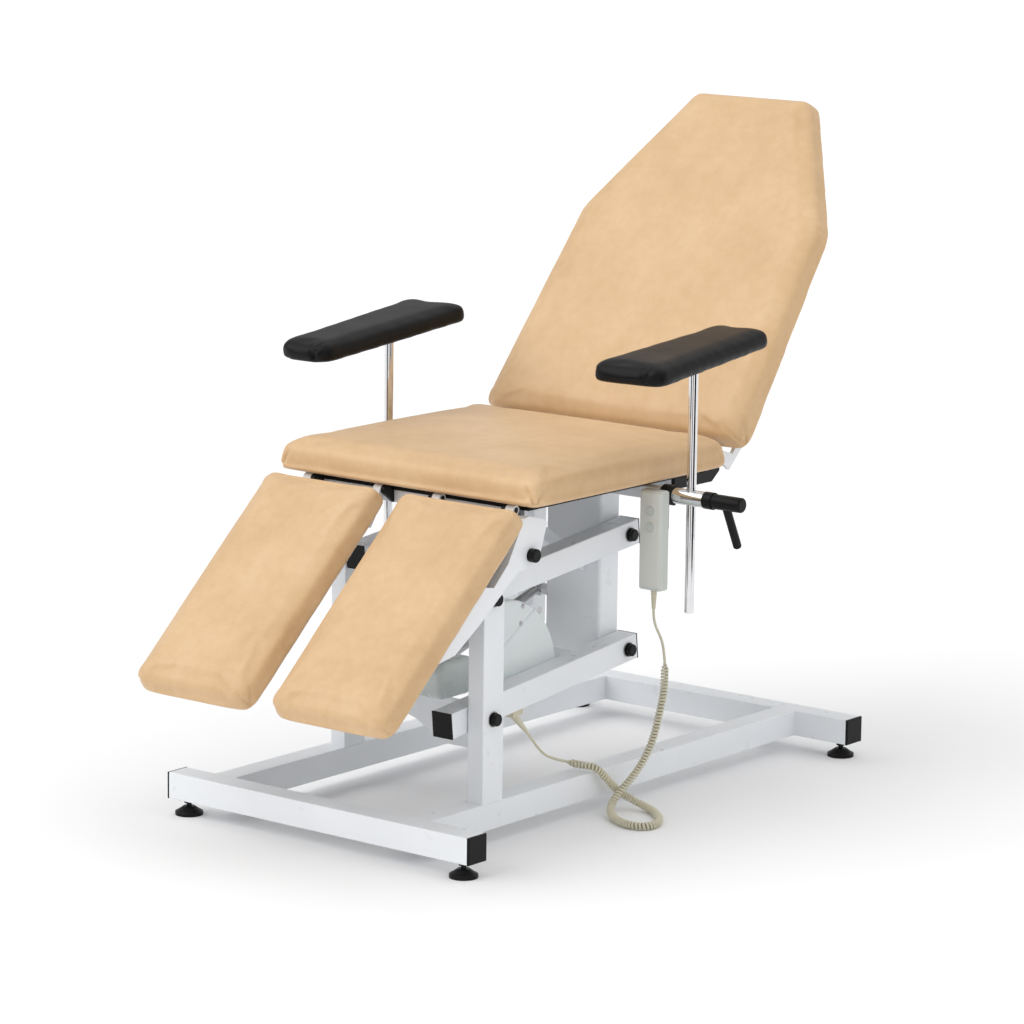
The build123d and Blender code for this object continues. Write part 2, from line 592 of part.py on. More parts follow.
def armrests():
    tee = rod_x(TEE_R, TEE_X, POST_Y, TEE_Z)
    tee -= rod_z(POST_R + POST_PLAY, POST_X, POST_Y, (TEE_Z - 20, TEE_Z + 20))
    save("armrest_tees", group(both_sides(tee)))
    stem = rod_z(POST_R, POST_X, POST_Y, POST_Z)
    stem = chamfer(stem.edges().group_by(Axis.Z)[0], 1.0)
    collar = rod_x(16, (GRIP_X[0], GRIP_X[0] + 19), POST_Y, TEE_Z)
    grip = rod_x(14, (GRIP_X[0] + 19, GRIP_X[1]), POST_Y, TEE_Z)
    grip = fillet(grip.edges().group_by(Axis.X)[-1], 4)
    handle = fillet(rod_z(8, 0, 0, (-LEVER_ROD_LENGTH, -10)).edges().group_by(Axis.Z)[0], 5)
    handle = Pos(LEVER_ROD_X, POST_Y, TEE_Z) * Rot(LEVER_LEAN, 0, 0) * handle
    clamp = collar + grip + handle
    save("right_clamp_lever", clamp)
    save("left_clamp_lever", mirror_x(clamp))
    save("right_armrest_post", stem)
    save("left_armrest_post", Pos(0, 0, -LEFT_POST_DROP) * mirror_x(stem))
    save("right_armrest_pad", armrest_pad((150, 118), (-272, 155), 6.0, 3.0, 0, 1))
    save("left_armrest_pad", armrest_pad((116, 146), (-248, 185), 2.6, 5.0, LEFT_POST_DROP, -1))


# ---------------------------------------------------------------- handset and cord
def handset():
    shell = block(HANDSET_X, HANDSET_Y, HANDSET_Z)
    shell = fillet(shell.edges(), 5.0)
    middle = (HANDSET_X[0] + HANDSET_X[1]) / 2
    button_z = (572.0, 542.0)
    pocket_depth = 5.0
    for z in button_z:
        shell -= rod_y(8.3, middle, (HANDSET_Y[0] - 1, HANDSET_Y[0] + pocket_depth), z)
    save("handset_shell", shell)
    for name, z in zip(("up_button", "down_button"), button_z):
        button = rod_y(8.0, middle, (HANDSET_Y[0] - 2.0, HANDSET_Y[0] + 3.0), z)
        save(name, fillet(button.edges().group_by(Axis.Y)[0], 1.0))
    hook_x = (304.0, 326.0)
    hook = rod_x(19, hook_x, POST_Y, TEE_Z) - rod_x(TEE_R + PIN_PLAY, (hook_x[0] - 1, hook_x[1] + 1), POST_Y, TEE_Z)
    hook -= block((hook_x[0] - 1, hook_x[1] + 1), (POST_Y + 4, POST_Y + 20), (TEE_Z - 20, TEE_Z - 6))
    hook += block(hook_x, (HANDSET_Y[1], HANDSET_Y[1] + 3), (TEE_Z - 60, TEE_Z))
    save("handset_hook", hook)
    relief_y = UPPER_LEAD[0][1]
    sleeve = Pos(305, relief_y, RELIEF_TIP_Z) * Cone(4, 6.5, HANDSET_Z[0] - RELIEF_TIP_Z,
                                                   align=(Align.CENTER, Align.CENTER, Align.MIN))
    save("cord_relief", sleeve)


def cord_tube(name, points, radius):
    """Tube along straight runs joined by arcs as large as the runs allow."""
    points = [Vector(*point) for point in points]
    runs = [b - a for a, b in zip(points, points[1:])]
    radii = []
    for before, after in zip(runs, runs[1:]):
        half_turn = math.radians(before.get_angle(after)) / 2
        radii.append(0.45 * min(before.length, after.length) / math.tan(half_turn))
    path = FilletPolyline(*points, radius=radii)
    section = Plane(points[0], z_dir=runs[0]) * Circle(radius)
    tube = sweep(section, path=path)
    expected = math.pi * radius ** 2 * path.length
    print(name, "length", round(path.length), "radii", [round(r) for r in radii])
    print(name, "volume over section times length", round(tube.volume / expected, 4))
    save(name, tube)


def cord():
    cord_tube("cord_upper_lead", UPPER_LEAD, CORD_R)
    cord_tube("cord_coil", COIL, COIL_R)
    cord_tube("cord_lower_lead", LOWER_LEAD, CORD_R)


os.makedirs("parts", exist_ok=True)
base_bars()
feet()
posts_and_front_bolts()
lift_arms()
drive_bracket()
motor_housing()
drive()
gear_cover()
cord_gland()
column()
left_upright()
rear_pins()
seat_frame()
seat()
hinge_brackets()
leg_rests()
back_rest()
gas_spring()
armrests()
handset()
cord()
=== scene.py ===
import json
import math
import bmesh
import bpy
import numpy as np
from mathutils import Matrix, Vector


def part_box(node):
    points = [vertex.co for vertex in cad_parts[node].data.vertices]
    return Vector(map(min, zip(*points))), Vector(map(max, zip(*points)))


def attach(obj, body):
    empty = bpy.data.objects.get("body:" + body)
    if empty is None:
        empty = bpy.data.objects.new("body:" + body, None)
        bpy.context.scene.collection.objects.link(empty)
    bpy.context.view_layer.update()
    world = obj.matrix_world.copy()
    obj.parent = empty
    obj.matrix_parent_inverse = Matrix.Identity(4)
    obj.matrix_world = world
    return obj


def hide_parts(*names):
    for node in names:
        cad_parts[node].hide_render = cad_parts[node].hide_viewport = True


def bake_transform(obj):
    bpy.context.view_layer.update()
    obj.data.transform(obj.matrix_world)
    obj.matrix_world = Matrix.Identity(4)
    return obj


# Looks of a medical treatment table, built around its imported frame. Metres, +Z up, -Y the foot end.

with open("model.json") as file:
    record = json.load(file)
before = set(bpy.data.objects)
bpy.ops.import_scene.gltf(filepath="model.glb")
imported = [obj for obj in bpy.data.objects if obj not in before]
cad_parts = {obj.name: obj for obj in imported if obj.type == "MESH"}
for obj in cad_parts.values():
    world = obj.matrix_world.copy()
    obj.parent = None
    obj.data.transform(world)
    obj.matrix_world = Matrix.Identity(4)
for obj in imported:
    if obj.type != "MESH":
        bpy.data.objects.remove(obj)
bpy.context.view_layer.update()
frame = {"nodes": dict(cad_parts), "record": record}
scene = bpy.context.scene
nodes = frame["nodes"]


# ---------------------------------------------------------------- camera
CAMERA_TARGET = Vector((-0.0323, 0.0229, 0.524))
CAMERA_AZIMUTH = 38.51      # degrees round from straight in front of the foot end
CAMERA_HEIGHT = 10.74       # degrees above level
CAMERA_ROLL = 0.70          # degrees round the line of sight
CAMERA_DISTANCE = 8.033
CAMERA_LENS = 149.4         # millimetres, on a 36 mm sensor
CAMERA_SHIFT = -0.0028


def make_camera():
    a, h = math.radians(CAMERA_AZIMUTH), math.radians(CAMERA_HEIGHT)
    back = Vector((math.cos(h) * math.sin(a), -math.cos(h) * math.cos(a), math.sin(h)))
    camera = bpy.data.objects.new("camera", bpy.data.cameras.new("camera"))
    scene.collection.objects.link(camera)
    turn = (-back).to_track_quat("-Z", "Y").to_matrix().to_4x4()
    place = Matrix.Translation(CAMERA_TARGET + back * CAMERA_DISTANCE)
    camera.matrix_world = place @ turn @ Matrix.Rotation(math.radians(CAMERA_ROLL), 4, "Z")
    camera.data.lens = CAMERA_LENS
    camera.data.sensor_width = 36
    camera.data.shift_x = CAMERA_SHIFT
    camera.data.clip_end = 60
    scene.camera = camera


# ---------------------------------------------------------------- materials
def node_material(name):
    material = bpy.data.materials.new(name)
    material.use_nodes = True
    tree = material.node_tree
    shader = tree.nodes["Principled BSDF"]
    return material, tree, shader


def noise(tree, scale, detail=3.0, roughness=0.5):
    place = tree.nodes.new("ShaderNodeTexCoord")
    texture = tree.nodes.new("ShaderNodeTexNoise")
    texture.inputs["Scale"].default_value = scale
    texture.inputs["Detail"].default_value = detail
    texture.inputs["Roughness"].default_value = roughness
    tree.links.new(place.outputs["Object"], texture.inputs["Vector"])
    return texture.outputs["Fac"]


def ramp(tree, value, stops):
    node = tree.nodes.new("ShaderNodeValToRGB")
    elements = node.color_ramp.elements
    while len(elements) < len(stops):
        elements.new(0.5)
    for element, (at, colour) in zip(elements, stops):
        element.position = at
        element.color = (*colour, 1)
    tree.links.new(value, node.inputs["Fac"])
    return node.outputs["Color"]


def mix(tree, blend, factor, first, second):
    node = tree.nodes.new("ShaderNodeMix")
    node.data_type = "RGBA"
    node.blend_type = blend
    node.inputs["Factor"].default_value = factor
    tree.links.new(first, node.inputs["A"])
    tree.links.new(second, node.inputs["B"])
    return node.outputs["Result"]


def bump(tree, shader, height, strength, distance, below=None):
    node = tree.nodes.new("ShaderNodeBump")
    node.inputs["Strength"].default_value = strength
    node.inputs["Distance"].default_value = distance
    tree.links.new(height, node.inputs["Height"])
    if below is not None:
        tree.links.new(below, node.inputs["Normal"])
    tree.links.new(node.outputs["Normal"], shader.inputs["Normal"])
    return node.outputs["Normal"]


def vary_roughness(tree, shader, scale, low, high):
    node = tree.nodes.new("ShaderNodeMapRange")
    node.inputs["To Min"].default_value = low
    node.inputs["To Max"].default_value = high
    tree.links.new(noise(tree, scale), node.inputs["Value"])
    tree.links.new(node.outputs["Result"], shader.inputs["Roughness"])


def leather(name, dark, middle, light, rough, grain):
    """Upholstery leather: cloudy colour at two scales, fine pebbled grain and soft creases."""
    material, tree, shader = node_material(name)
    clouds = ramp(tree, noise(tree, 7.0, 4.0, 0.6), [(0.30, dark), (0.50, middle), (0.72, light)])
    flecks = ramp(tree, noise(tree, 45.0, 5.0, 0.65), [(0.35, dark), (0.62, light)])
    colour = mix(tree, "MIX", 0.28, clouds, flecks)
    tree.links.new(colour, shader.inputs["Base Color"])
    vary_roughness(tree, shader, 16.0, *rough)
    shader.inputs["Specular IOR Level"].default_value = 0.45
    shader.inputs["Sheen Weight"].default_value = 0.08
    pebble = tree.nodes.new("ShaderNodeTexVoronoi")
    pebble.inputs["Scale"].default_value = 520
    place = tree.nodes.new("ShaderNodeTexCoord")
    tree.links.new(place.outputs["Object"], pebble.inputs["Vector"])
    fine = bump(tree, shader, pebble.outputs["Distance"], grain, 0.0004)
    bump(tree, shader, noise(tree, 11.0, 3.0, 0.55), 0.35, 0.004, fine)
    return material


def painted(name, colour, rough, shade=0.94, peel=0.12):
    """Powder coat or moulded plastic: a slight change of tone, and a fine orange-peel surface."""
    material, tree, shader = node_material(name)
    darker = tuple(c * shade for c in colour)
    tone = ramp(tree, noise(tree, 5.0, 2.0), [(0.35, darker), (0.65, colour)])
    tree.links.new(tone, shader.inputs["Base Color"])
    vary_roughness(tree, shader, 22.0, *rough)
    bump(tree, shader, noise(tree, 380.0, 2.0), peel, 0.0006)
    return material


def brushed(name, colour, rough):
    """Bare metal with fine lines left by grinding or plating."""
    material, tree, shader = node_material(name)
    darker = tuple(c * 0.9 for c in colour)
    tone = ramp(tree, noise(tree, 60.0, 6.0, 0.7), [(0.3, darker), (0.7, colour)])
    tree.links.new(tone, shader.inputs["Base Color"])
    shader.inputs["Metallic"].default_value = 1.0
    vary_roughness(tree, shader, 120.0, *rough)
    bump(tree, shader, noise(tree, 900.0, 1.0), 0.03, 0.0002)
    return material


def make_materials():
    made = {
        "tan_leather": leather("tan_leather", (0.60, 0.385, 0.195), (0.66, 0.435, 0.230),
                               (0.72, 0.495, 0.280), (0.34, 0.46), 0.30),
        "black_leather": leather("black_leather", (0.003, 0.003, 0.0035), (0.005, 0.005, 0.0055),
                                 (0.008, 0.008, 0.009), (0.36, 0.46), 0.25),
        "white_paint": painted("white_paint", (0.85, 0.875, 0.905), (0.24, 0.34), 0.96, 0.04),
        "black_paint": painted("black_paint", (0.015, 0.015, 0.016), (0.30, 0.42), 0.8),
        "black_plastic": painted("black_plastic", (0.010, 0.010, 0.010), (0.28, 0.42), 0.8, 0.2),
        "dark_board": painted("dark_board", (0.020, 0.018, 0.016), (0.55, 0.7), 0.7, 0.5),
        "grey_plastic": painted("grey_plastic", (0.58, 0.63, 0.61), (0.22, 0.32), 0.95, 0.04),
        "white_plastic": painted("white_plastic", (0.76, 0.80, 0.80), (0.20, 0.30), 0.95, 0.04),
        "cream_plastic": painted("cream_plastic", (0.66, 0.62, 0.47), (0.36, 0.48), 0.88),
        "handset_plastic": painted("handset_plastic", (0.62, 0.65, 0.61), (0.32, 0.42), 0.95, 0.05),
        "handset_face": painted("handset_face", (0.72, 0.73, 0.68), (0.34, 0.44), 0.95, 0.05),
        "steel": brushed("steel", (0.55, 0.55, 0.55), (0.25, 0.38)),
        "chrome": brushed("chrome", (0.80, 0.80, 0.81), (0.05, 0.09)),
    }
    dull = {"black_leather": 0.16, "black_plastic": 0.14, "black_paint": 0.16, "dark_board": 0.10}
    for name, level in dull.items():
        shader = made[name].node_tree.nodes["Principled BSDF"]
        shader.inputs["Specular IOR Level"].default_value = level
        shader.inputs["Sheen Weight"].default_value = 0.0
    made["white_plastic"].node_tree.nodes["Principled BSDF"].inputs["Subsurface Weight"].default_value = 0.15
    return made


materials = make_materials()


def paint(obj, name):
    obj.data.materials.clear()
    obj.data.materials.append(materials[name])


def paint_cad_nodes():
    for entry in frame["record"]["subparts"]:
        paint(nodes[entry["node"]], entry["material_slot"])
    for name in ("handset_shell", "up_button", "down_button"):
        paint(nodes[name], "handset_plastic")
    paint(nodes["back_frame"], "white_paint")
    for obj in nodes.values():
        obj.data.shade_smooth()
        with_sharp_edges(obj)


def with_sharp_edges(obj, degrees=32):
    """Soft shading over round stretches only. It marks edges and leaves the mesh's shape alone."""
    obj.data.set_sharp_from_angle(angle=math.radians(degrees))


# ---------------------------------------------------------------- helpers
def add_piece(name, mesh, body, material, smooth=True):
    obj = bpy.data.objects.new(name, mesh)
    scene.collection.objects.link(obj)
    paint(obj, material)
    if smooth:
        obj.data.shade_smooth()
    if body:
        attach(obj, body)
    return obj


def mesh_of(obj):
    """The object's mesh with its modifiers applied."""
    bpy.context.view_layer.update()
    shown = obj.evaluated_get(bpy.context.evaluated_depsgraph_get())
    return bpy.data.meshes.new_from_object(shown)


def apply_modifier(obj, kind, **settings):
    modifier = obj.modifiers.new(kind.lower(), kind)
    for key, value in settings.items():
        setattr(modifier, key, value)
    mesh = mesh_of(obj)
    obj.modifiers.remove(modifier)
    old = obj.data
    obj.data = mesh
    bpy.data.meshes.remove(old)


def points_of(mesh):
    co = np.zeros(len(mesh.vertices) * 3)
    mesh.vertices.foreach_get("co", co)
    return co.reshape(-1, 3)


def normals_of(mesh):
    normals = np.zeros(len(mesh.vertices) * 3)
    mesh.vertices.foreach_get("normal", normals)
    return normals.reshape(-1, 3)


def set_points(mesh, co):
    mesh.vertices.foreach_set("co", co.ravel())
    mesh.update()


def rounded_box(name, low, high, radius):
    made = bmesh.new()
    bmesh.ops.create_cube(made, size=1)
    low, high = Vector(low), Vector(high)
    for vertex in made.verts:
        vertex.co = Vector(((low + high)[i] / 2 + vertex.co[i] * (high - low)[i] for i in range(3)))
    bmesh.ops.bevel(made, geom=list(made.edges), offset=radius, segments=3, affect="EDGES", profile=0.5)
    mesh = bpy.data.meshes.new(name)
    made.to_mesh(mesh)
    made.free()
    return mesh


def turned_mesh(name, profile, at, axis, segments=40):
    """Solid of revolution: profile is (along the axis, radius) pairs."""
    made = bmesh.new()
    turn = Vector((0, 0, 1)).rotation_difference(Vector(axis)).to_matrix()
    rings = []
    for along, radius in profile:
        ring = []
        for i in range(segments):
            a = math.tau * i / segments
            spoke = Vector((radius * math.cos(a), radius * math.sin(a), along))
            ring.append(made.verts.new(Vector(at) + turn @ spoke))
        rings.append(ring)
    for first, second in zip(rings, rings[1:]):
        for i in range(segments):
            j = (i + 1) % segments
            made.faces.new((first[i], first[j], second[j], second[i]))
    made.faces.new(list(reversed(rings[0])))
    made.faces.new(rings[-1])
    mesh = bpy.data.meshes.new(name)
    made.to_mesh(mesh)
    made.free()
    return mesh


# ---------------------------------------------------------------- cords
MM = 0.001
SHIFT_Y = 22.94             # millimetres, from the drawing's own Y to the frame's
CORD_R = 2.5 * MM
COIL_R = 7.75 * MM          # to the outside of the curls
COIL_PITCH = 6.3 * MM
# Routes of the cord's three stretches, in the drawing's millimetres, from the handset down to the base.
UPPER_LEAD = [(305, -9, 387), (305, -9, 369), (305, 0, 349), (305, 14, 330), (305, 25, 306), (305, 29, 278)]
COIL = [(305, 29, 278), (304, 31, 246), (304, 27, 214), (302, 18, 180), (299, 10, 146), (294, -2, 113),
        (287, -20, 83), (278, -44, 57), (269, -65, 37), (269, -84, 18), (290, -108, 9), (326, -129, 8),
        (360, -136, 8), (383, -123, 8), (386, -96, 8), (368, -62, 8), (334, -30, 8), (297, -12, 9),
        (266, -18, 20), (254, -43, 38), (252, -73, 66), (245, -98, 93), (217, -112, 95), (190, -115, 97)]
LOWER_LEAD = [(190, -115, 97), (178, -121, 99), (174, -140, 106), (176, -163, 116), (177, -185, 133),
              (176, -205, 156), (176, -221, 172)]


def in_frame(points):
    return [Vector((x, y + SHIFT_Y, z)) * MM for x, y, z in points]


def spline_object(name, points, radius=0.0, resolution=12):
    curve = bpy.data.curves.new(name, "CURVE")
    curve.dimensions = "3D"
    curve.resolution_u = resolution
    curve.bevel_depth = radius
    curve.bevel_resolution = 3
    spline = curve.splines.new("NURBS")
    spline.points.add(len(points) - 1)
    for point, at in zip(spline.points, points):
        point.co = (*at, 1)
    spline.order_u = 3
    spline.use_endpoint_u = True
    return bpy.data.objects.new(name, curve)


def line_of(points):
    """Points along the smooth route, read from its spline."""
    bare = spline_object("route", points)
    line = points_of(bpy.data.meshes.new_from_object(bare))
    bpy.data.objects.remove(bare)
    return line


def helix_round(line, radius, pitch, steps=12):
    """Points of a helix round a route, with a frame carried along it so that it never twists."""
    gaps = np.linalg.norm(np.diff(line, axis=0), axis=1)
    at = np.concatenate(([0], np.cumsum(gaps)))
    count = int(at[-1] / pitch * steps)
    where = np.linspace(0, at[-1], count)
    centre = np.stack([np.interp(where, at, line[:, i]) for i in range(3)], 1)
    ahead = np.gradient(centre, axis=0)
    ahead /= np.linalg.norm(ahead, axis=1)[:, None]
    side = Vector((1, 0, 0))
    made = []
    for i in range(count):
        direction = Vector(ahead[i])
        side = (side - direction * side.dot(direction)).normalized()
        across = direction.cross(side)
        turn = math.tau * i / steps
        ends = min(1.0, i / (2 * steps), (count - 1 - i) / (2 * steps))
        out = radius * ends
        made.append(Vector(centre[i]) + (side * math.cos(turn) + across * math.sin(turn)) * out)
    return made


def cord_piece(name, points, radius, node, resolution=12):
    """A round cord along its points, shown in place of a CAD node."""
    curve = spline_object(name + "_line", points, radius, resolution)
    curve.data.use_fill_caps = True
    mesh = bpy.data.meshes.new_from_object(curve)
    bpy.data.objects.remove(curve)
    obj = add_piece(name, mesh, None, "cream_plastic")
    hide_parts(node)
    return obj


def make_cord():
    upper, coil, lower = (in_frame(points) for points in (UPPER_LEAD, COIL, LOWER_LEAD))
    coil_line = line_of(coil)
    turns = helix_round(coil_line, COIL_R - CORD_R, COIL_PITCH)
    pieces = [cord_piece("cord_upper", upper, CORD_R, "cord_upper_lead"),
              cord_piece("cord_curls", turns, CORD_R, "cord_coil", 2),
              cord_piece("cord_lower", lower, CORD_R, "cord_lower_lead")]
    facts = [(line_of(upper), upper[0], CORD_R),
             (coil_line, coil[0], COIL_R),
             (line_of(lower), lower[-1], CORD_R)]
    for obj, (line, start, radius) in zip(pieces, facts):
        if start is upper[0]:
            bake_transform(obj)
        else:
            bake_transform(obj)


# ---------------------------------------------------------------- cushions
VOXEL = 0.006
RESTING_BAND = 0.010        # height over a pad's lowest point that is held where it rests on its board
CLOTH_PRESSURE = 4
CLOTH_FRAMES = 20
COVER_GROW = 0.0015         # how far a cover stands out past its solid, along and across the pad
# Each cover is drawn in by its inset, smoothed for its rounds and blown out by no more than its cap.
LEG_COVER = {"inset": 0.003, "cap": 0.006, "rounds": 40}
SEAT_COVER = {"inset": 0.003, "cap": 0.007, "rounds": 45}
BACK_COVER = {"inset": 0.003, "cap": 0.006, "rounds": 40}
ARM_COVER = {"inset": 0.002, "cap": 0.003, "rounds": 36, "voxel": 0.0045}
LEG_ANGLE = math.radians(42.1)
BACK_ANGLE = math.radians(52.4)
FLAT_UP = Vector((0, 0, 1))
LEG_UP = Vector((0, -math.sin(LEG_ANGLE), math.cos(LEG_ANGLE)))
BACK_UP = Vector((0, -math.sin(BACK_ANGLE), math.cos(BACK_ANGLE)))
LEG_CORNER = Vector((0, -0.4085 + SHIFT_Y * MM, 0.644))     # top of the leg pads at their hinge end
BACK_CORNER = Vector((0, 0.226 + SHIFT_Y * MM, 0.681))      # top of the back pad at its hinge end
LEG_INNER, LEG_OUTER, LEG_LENGTH, LEG_THICK = 0.026, 0.299, 0.506, 0.055
ARM_SLOPES = {"right": 3, "left": 5}                        # degrees


def fit_extents(obj, solid, up, grow):
    """Stretch the cover so that it spans the solid it stands for along the pad's own three axes."""
    z = np.array(up)
    x = np.array((1.0, 0.0, 0.0))
    y = np.cross(z, x)
    co, target = points_of(obj.data), points_of(solid)
    for axis in (x, y, z):
        have, want = co @ axis, target @ axis
        middle = (have.max() + have.min()) / 2
        scale = (np.ptp(want) + 2 * grow * (axis is not z)) / np.ptp(have)
        placed = (have - middle) * scale + (want.max() + want.min()) / 2
        co = co + np.outer(placed - have, axis)
    set_points(obj.data, co)


def inflate(obj, up, cap):
    """Blow the cover out with cloth pressure, held where it rests on its board."""
    start = points_of(obj.data)
    height = start @ np.array(up)
    resting = obj.vertex_groups.new(name="resting")
    held = np.nonzero(height < height.min() + RESTING_BAND)[0]
    resting.add(held.tolist(), 1.0, "REPLACE")
    cloth = obj.modifiers.new("cloth", "CLOTH")
    cloth.settings.use_pressure = True
    cloth.settings.uniform_pressure_force = CLOTH_PRESSURE
    cloth.settings.vertex_group_mass = resting.name
    cloth.settings.quality = 4
    cloth.settings.effector_weights.gravity = 0
    cloth.point_cache.frame_end = CLOTH_FRAMES
    for step in range(1, CLOTH_FRAMES + 1):
        scene.frame_set(step)
    swollen = mesh_of(obj)
    moved = points_of(swollen) - start
    far = np.linalg.norm(moved, axis=1)
    moved *= (np.minimum(far, cap) / np.maximum(far, 1e-9))[:, None]
    bpy.data.meshes.remove(swollen)
    obj.modifiers.remove(cloth)
    scene.frame_set(1)
    set_points(obj.data, start + moved)


def soft_piece(name, node, body, material, up, inset, cap, rounds, voxel=VOXEL, fill=0.8):
    """Padded piece from its CAD solid: remeshed, smoothed, drawn in, blown out, then made finer."""
    obj = bpy.data.objects.new(name, nodes[node].data.copy())
    scene.collection.objects.link(obj)
    apply_modifier(obj, "REMESH", mode="VOXEL", voxel_size=voxel)
    apply_modifier(obj, "SMOOTH", factor=0.5, iterations=rounds)
    set_points(obj.data, points_of(obj.data) - normals_of(obj.data) * inset)
    inflate(obj, up, cap)
    obj.vertex_groups.clear()
    last_rounds = 4 if voxel == VOXEL else 16       # a finer mesh needs more to lose its steps
    apply_modifier(obj, "SMOOTH", factor=0.5, iterations=last_rounds)
    fit_extents(obj, nodes[node].data, up, COVER_GROW)
    apply_modifier(obj, "SUBSURF", levels=1, render_levels=1)
    paint(obj, material)
    obj.data.shade_smooth()
    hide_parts(node)
    obj["body"] = body
    obj["fill"] = fill
    return obj


def finish_soft(obj):
    """Its mesh doesn't change after this."""
    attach(obj, obj["body"])


def groove(obj, start, end, depth, width, fade=True):
    """Press a sewn line or a crease into the cover, along the surface nearest a line between two points."""
    co = points_of(obj.data)
    a, b = np.array(start), np.array(end)
    steps = max(6, int(np.linalg.norm(b - a) / (0.6 * width)))
    press = np.zeros(len(co))
    for t in np.linspace(0, 1, steps):
        on_surface = co[np.argmin(np.linalg.norm(co - (a + t * (b - a)), axis=1))]
        away = np.linalg.norm(co - on_surface, axis=1)
        share = 1 - 0.85 * t if fade else 1.0
        press = np.maximum(press, share * np.exp(-(away / width) ** 2))
    set_points(obj.data, co - normals_of(obj.data) * (depth * press)[:, None])


def swell(obj, start, end, height, width):
    """Raise a soft ridge, the opposite of a groove."""
    groove(obj, start, end, -height, width)


def on_slope(corner, up, along, x, s, z):
    """A point given by its X, its distance along a sloping pad and its height over the pad."""
    return Vector((x, corner[1], corner[2])) + along * s + up * z


def leg_cushions():
    """Two pads, each with a seam across its hinge end and pleats at both corners of its foot end."""
    along = Vector((0, -math.cos(LEG_ANGLE), -math.sin(LEG_ANGLE)))
    for side, name in ((1, "right"), (-1, "left")):
        obj = soft_piece(name + "_leg_pad", name + "_leg_cushion", name + "_leg", "tan_leather",
                         LEG_UP, **LEG_COVER)

        def at(x, s, z):
            return on_slope(LEG_CORNER, LEG_UP, along, x * side, s, z)

        groove(obj, at(LEG_INNER + 0.012, 0.016, 0), at(LEG_OUTER - 0.006, 0.014, 0),
               0.0030, 0.0030, fade=False)
        for x, way in ((LEG_OUTER, -1), (LEG_INNER, 1)):
            groove(obj, at(x - 0.002 * way, LEG_LENGTH - 0.006, -LEG_THICK + 0.012),
                   at(x + 0.020 * way, LEG_LENGTH - 0.016, -0.016), 0.005, 0.0035)
            groove(obj, at(x, LEG_LENGTH - 0.012, -LEG_THICK + 0.010),
                   at(x, LEG_LENGTH - 0.034, -0.020), 0.004, 0.0035)
        finish_soft(obj)


def seat_cushion():
    """The seat pad: two pleats with a fold between them at each front corner, and one at each rear corner."""
    obj = soft_piece("seat_pad", "seat_cushion", "carriage", "tan_leather", FLAT_UP, **SEAT_COVER)
    low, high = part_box("seat_cushion")
    front, top, bottom = low.y, high.z, low.z
    for side in (1, -1):
        x = high.x * side
        groove(obj, (x - 0.010 * side, front + 0.006, bottom + 0.008),
               (x - 0.030 * side, front + 0.002, top - 0.022), 0.008, 0.004)
        groove(obj, (x - 0.006 * side, front + 0.010, bottom + 0.008),
               (x - 0.001 * side, front + 0.034, top - 0.026), 0.008, 0.004)
        swell(obj, (x - 0.012 * side, front + 0.012, bottom + 0.010),
              (x - 0.014 * side, front + 0.014, top - 0.028), 0.003, 0.009)
        groove(obj, (x - 0.004 * side, high.y - 0.012, bottom + 0.010),
               (x - 0.002 * side, high.y - 0.040, top - 0.024), 0.005, 0.004)
    half = (high.x, (high.y - low.y) / 2)
    crown(obj, Vector((0, (low.y + high.y) / 2, 0)), half, FLAT_UP, top, 0.008)
    finish_soft(obj)


def crown(obj, middle, half, up, top, height):
    """Raise the middle of a flat top a little, as sewn foam stands, fading out over the band below it."""
    band = 0.03
    co = points_of(obj.data)
    x = (co[:, 0] - middle.x) / half[0]
    y = (co[:, 1] - middle.y) / half[1]
    share = np.clip(1 - x ** 2, 0, 1) * np.clip(1 - y ** 2, 0, 1)
    share *= np.clip((co[:, 2] - (top - band)) / band, 0, 1)
    set_points(obj.data, co + np.array(up) * (share * height)[:, None])


def back_cushion():
    """The back pad: two pleats at each lower corner, and a crease where each side starts to narrow."""
    obj = soft_piece("back_pad", "back_cushion", "back", "tan_leather", BACK_UP, **BACK_COVER)
    along = Vector((0, math.cos(BACK_ANGLE), math.sin(BACK_ANGLE)))
    for side in (1, -1):

        def at(x, s, z):
            return on_slope(BACK_CORNER, BACK_UP, along, x * side, s, z)

        groove(obj, at(0.306, 0.008, -0.045), at(0.286, 0.012, -0.008), 0.006, 0.004)
        groove(obj, at(0.306, 0.016, -0.045), at(0.303, 0.046, -0.010), 0.006, 0.004)
        groove(obj, at(0.283, 0.474, -0.045), at(0.276, 0.470, -0.008), 0.003, 0.005)
    finish_soft(obj)


def armrest_pads():
    """Two pads, each with a pair of pleats at both corners of its front end."""
    for name, degrees in ARM_SLOPES.items():
        tilt = math.radians(degrees)
        up = Vector((0, -math.sin(tilt), math.cos(tilt)))
        node = name + "_armrest_pad"
        obj = soft_piece(name + "_arm_pad", node, node, "black_leather", up, **ARM_COVER)
        low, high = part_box(node)
        for x, way in ((low.x, 1), (high.x, -1)):
            foot = (x + 0.030 * way, low.y + 0.004, low.z + 0.010)
            for inward, behind in ((0.040, 0.016), (0.020, 0.022)):
                head = (x + inward * way, low.y + behind, low.z + 0.034)
                groove(obj, foot, head, 0.005, 0.0035)
        finish_soft(obj)


